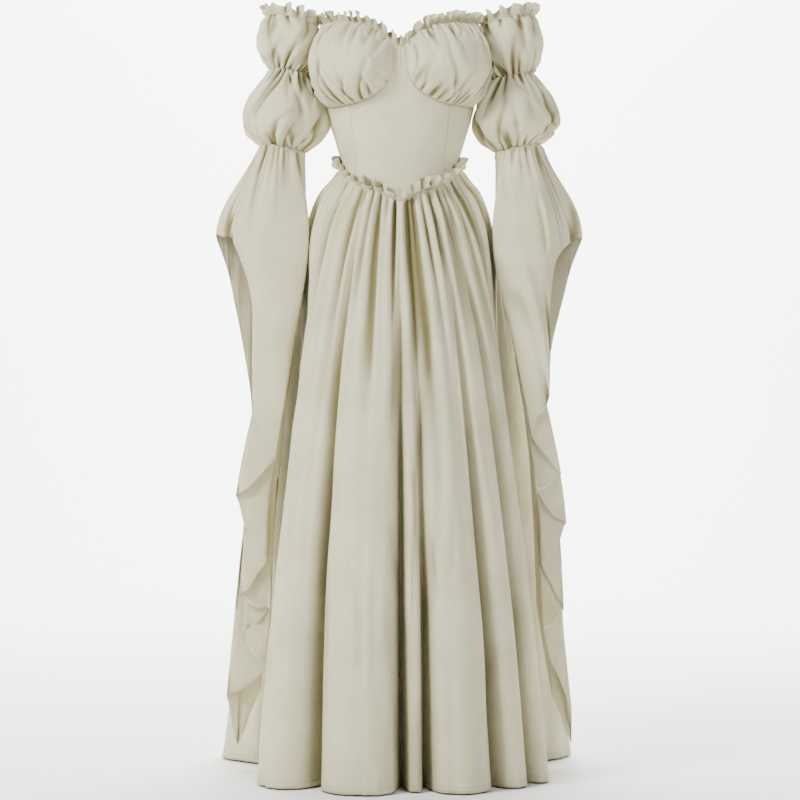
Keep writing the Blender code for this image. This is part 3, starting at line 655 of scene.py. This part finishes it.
def skirt_panel(name, folds, start, end, finish, fine, seed, cut, wrinkles, faces_between):
    """A skirt panel from one seam to the next, gathered at the waist, with its folds between."""
    lines = skirt_lines(folds, start, end)
    rows = scattered(seed, wrinkles, cut[0], 1.0, (0.1, 0.4), (-14, 14), (2.0, 4.6), (10, 24))
    waist = math.radians(end - start)
    drawn = drawn_folds(seed, fine, waist, (0.06, 0.6), (6.5, 13.0), (20, 38), 0.0)

    def lay(u, v):
        rank = u * (len(lines) - 1)
        top, mid, hem = (np.interp(rank, np.arange(len(lines)), lines[:, k]) for k in range(3))
        down = (1 - v) ** 1.2
        angle = np.where(down < 0.3, top + (mid - top) * down / 0.3, mid + (hem - mid) * (down - 0.3) / 0.7)
        point, inward = skirt_point(angle, down, top)
        far = down * SKIRT_LONG
        share = (angle - start) / (end - start)
        pull = gathers(np.radians(top - start), far, drawn) * smooth(-3 * MM, 12 * MM, far)
        # Painted shade: darker in the valleys of the gathers and creases, and more so in a deep fold.
        painted_shade = -0.85 * pull
        rumple = creases(share * cut[0], far, rows) * smooth(0.02, 0.1, down)
        pull += rumple
        painted_shade = painted_shade - 0.5 * rumple
        from_hem = (1 - down) * SKIRT_LONG
        ripple = np.sin(2 * math.pi * share * cut[0] / HEM_RIPPLE[1] + 2 * np.sin(share * 31))
        pull += HEM_RIPPLE[0] * ripple * np.exp(-from_hem / HEM_RIPPLE[2])
        edge = np.minimum(u, 1 - u) * cut[0]
        pull *= smooth(0, 0.02, edge)
        painted_shade = painted_shade + FOLD_SHADE * np.minimum(inward, FOLD_SHADE_END)
        return point + outwards(angle) * pull[:, None], from_hem / MM, painted_shade

    return cloth(name, (len(lines) - 1) * faces_between, 132, lay, finish, cut=cut)


def elastic_point(elastic, angle, lift=0.0):
    """A point of an elastic, which the gathers make wavy, for an angle from the outer side over the front."""
    middle, height, half, deep, slope = elastic
    a = np.radians(angle)
    x = middle + half * np.cos(a)
    z = height + slope * (x - middle) + 1.1 * np.sin(11 * a + height) + 0.8 * np.sin(17 * a + 2)
    return np.stack([x * MM, -deep * np.sin(a) * MM, z * MM + lift], axis=-1)


def elastic_line(elastic, gap):
    """The gathered edge beside an elastic, u once round it."""

    def line(u):
        return elastic_point(elastic, 360 * u, gap)

    return line


def puff(name, side, first, last, stand_out, hold, finish, seed, cut):
    """A puffed length of sleeve between two gathered edges, first(u) above and last(u) below."""
    from_upper = drawn_folds(seed, 25, PUFF_ROUND, (0.025, cut[1]), (5.0, 11.0), (1.9, 3.0), 0.25)
    from_lower = drawn_folds(seed + 7, 26, PUFF_ROUND, (0.025, 0.95 * cut[1]), (5.5, 12.0), (1.9, 3.2), 0.3)
    rows = scattered(seed, 16, cut[0], cut[1], (0.04, 0.1), (-45, 45), (1.4, 3.4), (6, 12))
    draw = np.random.default_rng(seed)
    turns = draw.uniform(0, 2 * math.pi, 2)

    def lay(u, v):
        down = 1 - v
        above, below = first(u), last(u)
        point = above + (below - above) * down[:, None]
        away = point - np.array([[ARM_X, 0.0, 0.0]])
        away[:, 2] = 0
        away /= np.linalg.norm(away, axis=1, keepdims=True)
        full = look_up(stand_out, down) * MM
        from_top, from_end = down * cut[1], v * cut[1]
        x = u * PUFF_ROUND
        pull = gathers(x, from_top, from_upper, PUFF_ROUND) * smooth(-3 * MM, 5 * MM, from_top)
        pull += gathers(x, from_end, from_lower, PUFF_ROUND) * smooth(-3 * MM, 5 * MM, from_end)
        # Painted shade: darker in the valleys of the gathers and along each elastic.
        painted_shade = -pull + 2 * MM * (np.exp(-from_top / (3 * MM)) + np.exp(-from_end / (3 * MM)))
        pull += creases(u * cut[0], v * cut[1], rows)
        # A puff is never quite round.
        pull += 3.0 * MM * np.sin(2 * math.pi * 3 * u + turns[0]) * np.sin(math.pi * v)
        pull += 1.8 * MM * np.sin(2 * math.pi * 5 * u + turns[1] + 3 * v) * np.sin(math.pi * v)
        point = point + away * ((full + pull) * hold(away))[:, None]
        point[:, 0] *= side
        return point, NO_HEM, painted_shade

    return cloth(name, 190, 60, lay, finish, closed=True, faces_out=side < 0, cut=cut)


def sleeve_edge(u):
    """The upper edge of a sleeve, u once round it from the outer side over the front."""
    return round_loop(SLEEVE_TOP, SLEEVE_TURN - u * len(SLEEVE_TOP)) * MM


def upper_hold(away):
    """The upper puff keeps flat against the body."""
    return 1 - 0.75 * np.clip(-away[:, 0] - 0.35, 0, 1) / 0.65


def lower_hold(away):
    """The lower puff stands out a little less against the body."""
    return 1 + 0.04 * np.clip(-away[:, 0], 0, 1)


def bell_columns(rows):
    """Two columns to a fold line in the cascade, and two to a bend elsewhere."""
    columns = []
    for i in range(len(rows)):
        if BELL_FLAT[0] < i < BELL_FLAT[1]:
            columns += [i - FOLD_ROUND, i + FOLD_ROUND]
        elif i == BELL_FLAT[0]:
            columns.append(i)
        else:
            columns += [i, i + 0.5]
    return np.array(columns)


def ringed(values, turn=0.0):
    """A closed row of values with a few of them repeated past each end."""
    return np.concatenate([values[-3:] - turn, values, values[:4] + turn])


def thread_paths(depth, known, levels):
    """Each thread's own smooth path down through its places, a row of known depths and levels to a thread."""
    step = np.diff(known, axis=1)
    slope = slopes_at(np.diff(levels, axis=1) / step)
    i = np.clip((depth[:, None] >= known).sum(axis=1) - 1, 0, known.shape[1] - 2)
    row = np.arange(len(depth))
    length = step[row, i]
    t = np.clip((depth - known[row, i]) / length, 0, 1)
    return between_points(levels[row, i], levels[row, i + 1], slope[row, i], slope[row, i + 1], t, length)


def sleeve_end(name, side, rows, finish, seed, cut):
    """The long open end of a sleeve: short on the outer side, with a folded tail almost to the hem."""
    table = np.array(rows, float)
    n = len(table)
    columns = bell_columns(rows)
    fold = np.rint(columns)
    tight = (fold > BELL_FLAT[0]) & (fold < BELL_FLAT[1]) & (np.abs(columns - fold) < 0.3)
    seat = np.where(tight, fold, columns)

    def at_columns(index, where):
        if index == 0:
            angles = np.append(table[:, 0], table[0, 0] + 360)
            return np.interp(where, np.arange(n + 1), angles)
        return round_loop(table[:, index][:, None], where)[..., 0]

    known = np.arange(-3, len(columns) + 4)
    drawn = drawn_folds(seed, 24, END_ROUND, (0.02, 0.2), (4.0, 8.5), (2.0, 3.2), 0.06)
    wrinkles = scattered(seed, 44, cut[0], 0.9, (0.1, 0.36), (-16, 16), (5.0, 11.0), (12, 26))

    def lay(u, v):
        rank = u * len(columns)
        angle = through(rank, known, ringed(at_columns(0, columns), 360.0))
        edge = through(rank, known, ringed(at_columns(1, seat))) * MM
        ring = elastic_point(LOWER_ELASTIC, angle, -SEAM)
        down = (1 - v) ** 1.15
        between = np.sin(np.pi * through(rank, known, ringed(seat, float(n)))) ** 2
        cascade = smooth(135, 150, angle) * smooth(262, 245, angle)
        edge = edge - 9 * MM * between * cascade
        long = ring[:, 2] - edge
        depth = long * down
        point = np.zeros((len(u), 3))
        knots = [0 * depth] + [ring[:, 2] - level * MM for level in BELL_HEIGHTS]
        for k, where in ((0, seat), (1, columns)):
            levels = [ring[:, k]]
            for i in range(4):
                levels.append(through(rank, known, ringed(at_columns(2 + 2 * i + k, where))) * MM)
            point[:, k] = thread_paths(depth, np.stack(knots, axis=1), np.stack(levels, axis=1))
        point[:, 2] = ring[:, 2] - depth
        out = ring - np.array([[LOWER_ELASTIC[0] * MM, 0.0, 0.0]])
        out[:, 2] = 0
        out /= np.linalg.norm(out, axis=1, keepdims=True)
        turn = angle % 360
        plain_back = smooth(225, 250, turn) * smooth(0.03, 0.09, depth)
        pull = gathers(turn / 360 * END_ROUND, depth, drawn, END_ROUND) * (1 - 0.85 * plain_back)
        for place, half, deep in CORNER_PLEATS:
            off = (turn - place * (1 - 0.5 * depth / 0.17)) / (half * (1 - 0.45 * smooth(0, 0.12, depth)))
            pull -= deep * MM * np.exp(-np.abs(off) ** 1.3) * smooth(0.26, 0.12, depth)
        pull *= smooth(-3 * MM, 7 * MM, depth)
        rumple = creases(rank / len(columns) * cut[0], depth, wrinkles) * smooth(0.03, 0.12, depth)
        rumple *= 1 - 0.75 * plain_back
        # Painted shade: darker in the valleys of the gathers, pleats and wrinkles.
        painted_shade = -pull - 1.1 * rumple
        point += out * pull[:, None]
        from_edge = long - depth
        flutter = (0.8 + 2.4 * cascade) * MM * np.sin(2 * math.pi * 3 * rank / 2 + 40 * depth)
        point[:, 1] += flutter * np.exp(-from_edge / 0.04) - rumple
        sway = 5 * MM * np.sin(38 * depth + 1.3 * rank) * between * cascade
        point[:, 0] += sway * np.exp(-from_edge / 0.06)
        point[:, 0] *= side
        return point, from_edge / MM, painted_shade

    return cloth(name, len(columns) * 5, 110, lay, finish, closed=True, faces_out=side < 0, cut=cut)


def frill(name, line, waves, height, lean, finish, seed, cut):
    """A narrow ruffle standing on an edge: line(u) gives its foot, the way out and the way along."""
    draw = np.random.default_rng(seed)
    turns = draw.uniform(0, 2 * math.pi, 4)

    def lay(u, v):
        foot, out, along = line(u)
        sway = 0.9 * np.sin(2 * math.pi * waves / 3.3 * u + turns[0])
        sway = sway + 0.6 * np.sin(2 * math.pi * waves / 5.1 * u + turns[1])
        turn = 2 * math.pi * waves * u + sway
        loud = 0.8 + 0.35 * np.sin(2 * math.pi * waves / 4.2 * u + turns[2])
        wave = 7.4 * MM * np.sin(turn) * loud * v**0.8 + 1.6 * MM * np.sin(2.6 * turn + turns[3]) * v
        curl = 2.9 * MM * np.sin(2 * turn + 0.6) * v * loud * np.sign(u - 0.5)
        rise = height * v + 5.4 * MM * np.cos(turn) * loud * v**1.4 - 2 * MM
        up = np.array([[0.0, 0.0, 1.0]])
        reach = lean * v + 1.0 * MM
        point = foot + up * rise[:, None] + out * (reach + wave)[:, None] + along * curl[:, None]
        # Painted shade: darker at the foot and where the wave turns in.
        return point, (1 - v) * height / MM, FRILL_SHADE * (1 - v) - 0.8 * wave

    return cloth(name, waves * 16, 12, lay, finish, cut=cut, wall=FRILL_CLOTH)


def front_frill_line(u):
    """The neckline over the cups, for their frill."""
    angle = -75 + 150 * u
    turned = np.abs(angle)
    edge = np.where(turned < 5, look_up(((0, 197), (5, 204)), turned), look_up(CUP_TOP, turned)) * MM
    return body_point(angle, edge + SEAM), outwards(angle), outwards(angle + 90)


def back_frill_line(u):
    """The upper edge of the back panels, for their frill."""
    angle = 113 + 134 * u
    return body_point(angle, back_top(angle) + SEAM), outwards(angle), outwards(angle + 90)


def sleeve_frill_line(side):
    """The upper edge of a sleeve, for its frill."""

    def line(u):
        share = u if side > 0 else 1 - u
        at = 0.12 + (SLEEVE_CORNER - 0.3) * share
        point = round_loop(SLEEVE_TOP, at) * MM
        ahead = round_loop(SLEEVE_TOP, at + 0.02) * MM - point
        if side < 0:
            ahead = -ahead
        point[:, 0] *= side
        ahead[:, 0] *= side
        ahead[:, 2] = 0
        along = ahead / np.linalg.norm(ahead, axis=1, keepdims=True)
        out = np.stack([along[:, 1], -along[:, 0], 0 * along[:, 0]], axis=-1)
        point[:, 2] += SEAM + 0.4 * MM
        return point, out, along

    return line


def waist_ruffle(finish, cut):
    """The ruffle that stands out from the waist seam all round, its edge waving up and down."""
    waves = 32

    def lay(u, v):
        angle = -180 + 360 * u
        foot = body_point(angle, waist_height(angle) - 1.5 * MM) + outwards(angle) * 1.6 * MM
        turn = 2 * math.pi * waves * u + 0.9 * np.sin(2 * math.pi * 9 * u)
        turn = turn + 0.7 * np.sin(2 * math.pi * 5 * u + 1)
        loud = 0.85 + 0.3 * np.sin(2 * math.pi * 7 * u + 2)
        wave = 9.5 * MM * np.sin(turn) * loud * v**0.8 + 2.6 * MM * np.sin(2.6 * turn + 1) * v
        rise = 13.0 * MM * v + 9.0 * MM * np.cos(turn) * loud * v**1.2
        curl = v * 4.4 * MM * np.sin(2 * turn + 0.5)
        reach = 7.5 * MM * v + wave
        point = foot + outwards(angle) * reach[:, None] + outwards(angle + 90) * curl[:, None]
        point[:, 2] += rise
        # Painted shade: darker at the foot and where the wave turns in.
        return point, (1 - v) * cut[1] / MM, FRILL_SHADE * (1 - v) - 0.8 * wave

    return cloth("waist_ruffle", waves * 16, 12, lay, finish, closed=True, cut=cut, wall=FRILL_CLOTH)


def linear(code):
    """A colour given as an sRGB hex code, in the linear values that a shader takes."""
    parts = [int(code[i : i + 2], 16) / 255 for i in (1, 3, 5)]
    return tuple(c / 12.92 if c <= 0.04045 else ((c + 0.055) / 1.055) ** 2.4 for c in parts) + (1.0,)


def node(tree, kind, settings=None, links=None, inputs=None):
    """Adds a node with its settings, the values of its inputs and what is linked into them."""
    made = tree.nodes.new(kind)
    for key, value in (settings or {}).items():
        setattr(made, key, value)
    for key, value in (inputs or {}).items():
        made.inputs[key].default_value = value
    for key, source in (links or {}).items():
        tree.links.new(source, made.inputs[key])
    return made


def undyed_cotton():
    """Washed cotton cloth, plain woven, undyed and not ironed: matt, with slubs and soft creases."""
    material = bpy.data.materials.new("undyed_woven_cotton")
    material.use_nodes = True
    tree = material.node_tree
    shader = tree.nodes["Principled BSDF"]
    place = node(tree, "ShaderNodeTexCoord")
    cut = node(tree, "ShaderNodeUVMap", {"uv_map": "cut"})
    # Clouds a few centimetres wide: the cloth takes light and washing unevenly.
    object_place = place.outputs["Object"]
    clouds = node(tree, "ShaderNodeTexNoise", None, {"Vector": object_place}, {"Scale": 14.0, "Detail": 3.0})
    tone = node(tree, "ShaderNodeValToRGB", links={"Fac": clouds.outputs["Fac"]})
    for element, at, code in zip(tone.color_ramp.elements, (0.3, 0.7), ("#C7C2A1", "#D5CFAF")):
        element.position = at
        element.color = linear(code)
    # Slubs: real threads are 0.4 mm apart and too fine to show here, so these run 1.5 mm by 30 mm.
    threads = []
    slub_noise = {"Scale": 1.0, "Detail": 1.0}
    for scale in ((650.0, 34.0, 1.0), (34.0, 650.0, 1.0)):
        run = node(tree, "ShaderNodeMapping", None, {"Vector": cut.outputs["UV"]}, {"Scale": scale})
        slubs = node(tree, "ShaderNodeTexNoise", None, {"Vector": run.outputs[0]}, slub_noise)
        threads.append(slubs.outputs["Fac"])
    weave = node(tree, "ShaderNodeMath", {"operation": "ADD"}, {0: threads[0], 1: threads[1]})
    streak_range = {1: 0.75, 2: 1.25, 3: 0.955, 4: 1.045}
    streak = node(tree, "ShaderNodeMapRange", None, {"Value": weave.outputs[0]}, streak_range)
    streaked = {0: tone.outputs["Color"], "Scale": streak.outputs[0]}
    shade = node(tree, "ShaderNodeVectorMath", {"operation": "SCALE"}, streaked)
    # The hem is turned up 10 mm wide and stitched there: a fine sunken line.
    far = node(tree, "ShaderNodeAttribute", {"attribute_name": "hem_mm"})
    off = node(tree, "ShaderNodeMath", {"operation": "SUBTRACT"}, {0: far.outputs["Fac"]}, {1: 10.0})
    near = node(tree, "ShaderNodeMath", {"operation": "ABSOLUTE"}, {0: off.outputs[0]})
    soft_step = {"interpolation_type": "SMOOTHSTEP"}
    stitch_range = {1: 0.0, 2: 1.6, 3: 0.82, 4: 1.0}
    stitch = node(tree, "ShaderNodeMapRange", soft_step, {"Value": near.outputs[0]}, stitch_range)
    # Painted shade: the colour darkens and browns where a piece marks the cloth as lying deep in a fold, along
    # a seam or at the foot of a frill.
    fold = node(tree, "ShaderNodeAttribute", {"attribute_name": "painted_shade_mm"})
    painted_shade_range = {1: 0.4, 2: 6.0, 3: 0.0, 4: 1.0}
    deep = node(tree, "ShaderNodeMapRange", soft_step, {"Value": fold.outputs["Fac"]}, painted_shade_range)
    folded = node(
        tree,
        "ShaderNodeMixRGB",
        {"blend_type": "MULTIPLY"},
        {"Fac": deep.outputs[0], "Color1": shade.outputs[0]},
        {"Color2": linear("#9B9475")},
    )
    stitched = {0: folded.outputs[0], "Scale": stitch.outputs[0]}
    hemmed = node(tree, "ShaderNodeVectorMath", {"operation": "SCALE"}, stitched)
    tree.links.new(hemmed.outputs[0], shader.inputs["Base Color"])
    # Creases that stay after washing, 15 to 40 mm long, then the threads, then the stitch line.
    crease_size = {"Scale": 42.0, "Detail": 4.0, "Roughness": 0.55}
    rumple = node(tree, "ShaderNodeTexNoise", None, {"Vector": object_place}, crease_size)
    surface = None
    for height, strength, distance in (
        (rumple.outputs["Fac"], 0.35, 0.004),
        (weave.outputs[0], 0.25, 0.0006),
        (stitch.outputs[0], 0.5, 0.001),
    ):
        links = {"Height": height} if surface is None else {"Height": height, "Normal": surface}
        bump = node(tree, "ShaderNodeBump", None, links, {"Strength": strength, "Distance": distance})
        surface = bump.outputs[0]
    tree.links.new(surface, shader.inputs["Normal"])
    shader.inputs["Roughness"].default_value = 0.88
    shader.inputs["Specular IOR Level"].default_value = 0.25
    shader.inputs["Sheen Weight"].default_value = 0.08
    shader.inputs["Sheen Roughness"].default_value = 0.5
    shader.inputs["Sheen Tint"].default_value = linear("#E6E2D6")
    return material


def plain(name, code, roughness):
    """A plain matt material."""
    material = bpy.data.materials.new(name)
    material.use_nodes = True
    shader = material.node_tree.nodes["Principled BSDF"]
    shader.inputs["Base Color"].default_value = linear(code)
    shader.inputs["Roughness"].default_value = roughness
    return material


def in_order(side, first, last):
    """The two seams of a panel, so that it is laid the same way round on either side of the body."""
    if side > 0:
        return first, last
    return tuple(-a for a in last), tuple(-a for a in first)


def bodice_side(side, word, cotton):
    """The panels of one side of the bodice, from the princess seam to the centre back, and its cup."""
    seams = in_order(side, PRINCESS, SIDE_FRONT)
    name = f"side_front_panel_{word}"
    made = bodice_panel(name, *seams, side_front_top, cotton, 30, 10 + side, (0.06, 0.12))
    sew(made, f"bodice_side_front_{word}")
    seams = in_order(side, SIDE_FRONT, SIDE_BACK)
    made = bodice_panel(f"side_panel_{word}", *seams, back_top, cotton, 36, 20 + side, (0.07, 0.19))
    sew(made, f"bodice_side_{word}")
    seams = in_order(side, SIDE_BACK, CENTRE_BACK)
    made = bodice_panel(f"back_panel_{word}", *seams, back_top, cotton, 60, 30 + side, (0.13, 0.19))
    sew(made, f"bodice_back_{word}")
    made = cup(f"gathered_cup_{word}", side, cotton, 40 + side, (0.2, 0.16))
    sew(made, f"cup_{word}")


def sleeve(side, word, cotton):
    """One sleeve from the neckline down: two puffs held by elastics, the long end, then the frill on top."""
    upper = UPPER_ELASTIC[side]
    lines = (sleeve_edge, elastic_line(upper, SEAM / 2))
    made = puff(f"upper_puff_{word}", side, *lines, UPPER_PUFF, upper_hold, cotton, 50 + side, (0.45, 0.11))
    sew(made, f"sleeve_upper_{word}")
    lines = (elastic_line(upper, -SEAM / 2), elastic_line(LOWER_ELASTIC, SEAM / 2))
    made = puff(f"lower_puff_{word}", side, *lines, LOWER_PUFF, lower_hold, cotton, 60 + side, (0.45, 0.17))
    sew(made, f"sleeve_lower_{word}")
    rows = LEFT_BELL if side > 0 else RIGHT_BELL
    made = sleeve_end(f"trailing_sleeve_{word}", side, rows, cotton, 70 + side, (0.9, 1.0))
    sew(made, f"sleeve_end_{word}")
    line = sleeve_frill_line(side)
    made = frill(f"sleeve_top_frill_{word}", line, 12, SLEEVE_FRILL, 6 * MM, cotton, 80 + side, (0.5, 0.02))
    sew(made, f"neck_frill_sleeve_{word}")


def skirt(cotton):
    """The front panel of the skirt and its two back panels."""
    made = skirt_panel("front_skirt", FRONT_FOLDS, -90, 90, cotton, 42, 90, (1.9, 1.03), 70, 3)
    sew(made, "skirt_front")
    made = skirt_panel("back_skirt_left", BACK_FOLDS, 90, 180, cotton, 21, 91, (1.0, 1.03), 36, 5)
    sew(made, "skirt_back_left")
    folds = mirrored(BACK_FOLDS)
    made = skirt_panel("back_skirt_right", folds, -180, -90, cotton, 21, 92, (1.0, 1.03), 36, 5)
    sew(made, "skirt_back_right")


def body_frills(cotton):
    """The frills of the bodice: over the cups, across the back, and round the waist."""
    made = frill("front_frill", front_frill_line, 26, FRONT_FRILL, 7 * MM, cotton, 93, (0.5, 0.015))
    sew(made, "neck_frill_front")
    made = frill("back_frill", back_frill_line, 12, FRONT_FRILL, 5 * MM, cotton, 94, (0.4, 0.015))
    sew(made, "neck_frill_back")
    made = waist_ruffle(cotton, (0.95, 0.02))
    sew(made, "waist_frill")


def dress():
    """Every piece of the dress, cut, laid and sewn on."""
    cotton = undyed_cotton()
    panel = front_panel(cotton, (0.2, 0.25))
    sew(panel, "bodice_front")
    for side, word in ((1, "left"), (-1, "right")):
        bodice_side(side, word, cotton)
        sleeve(side, word, cotton)
    skirt(cotton)
    body_frills(cotton)


def soft_box(name, place, aim, width, height, power):
    """A soft studio lamp, facing its aim."""
    lamp = bpy.data.lights.new(name, "AREA")
    lamp.shape = "RECTANGLE"
    lamp.size, lamp.size_y, lamp.energy = width, height, power
    stand = bpy.data.objects.new(name, lamp)
    stand.location = place
    stand.rotation_euler = (Vector(aim) - Vector(place)).to_track_quat("-Z", "Y").to_euler()
    bpy.context.scene.collection.objects.link(stand)


def studio():
    """A pale floor that sweeps up behind, soft light, and the camera of the photograph."""
    bm = bmesh.new()
    bmesh.ops.create_grid(bm, x_segments=1, y_segments=48, size=1.0)
    radius = BEND_LONG * 2 / math.pi
    for vertex in bm.verts:
        along = (vertex.co.y + 1) / 2 * PAPER_LONG + PAPER_FROM
        bend = min(max((along - BEND_FROM) / BEND_LONG, 0.0), 1.0) * math.pi / 2
        level = min(along, BEND_FROM) + radius * math.sin(bend)
        upright = max(along - BEND_FROM - BEND_LONG, 0.0)
        height = HEM_Z - 3 * MM + radius * (1 - math.cos(bend)) + upright
        vertex.co = (vertex.co.x * PAPER_HALF, level, height)
    mesh = bpy.data.meshes.new("floor")
    bm.to_mesh(mesh)
    bm.free()
    mesh.shade_smooth()
    mesh.materials.append(plain("white_paper", "#F4F4F2", 0.9))
    floor = bpy.data.objects.new("floor", mesh)
    bpy.context.scene.collection.objects.link(floor)
    world = bpy.data.worlds.new("studio")
    bpy.context.scene.world = world
    world.use_nodes = True
    back = world.node_tree.nodes["Background"]
    back.inputs["Color"].default_value = linear("#FFFFFF")
    back.inputs["Strength"].default_value = 0.17
    soft_box("key", (-2.3, -1.9, 1.8), (0, 0, 0.2), 1.0, 1.0, 195)
    soft_box("fill", (1.5, -2.7, 1.2), (0, 0, 0.1), 1.3, 1.3, 52)
    soft_box("back_light", (0.5, 3.0, 2.6), (0, 0, -0.3), 2.0, 2.0, 50)
    soft_box("backdrop_light", (0.0, 2.6, 4.5), (0, 7.5, 0.5), 5.0, 2.0, 2400)
    camera = bpy.data.objects.new("camera", bpy.data.cameras.new("camera"))
    camera.location = CAMERA_PLACE
    camera.rotation_euler = (math.pi / 2, 0, 0)
    camera.data.lens = CAMERA_LENS
    bpy.context.scene.collection.objects.link(camera)
    bpy.context.scene.camera = camera


dress()
studio()
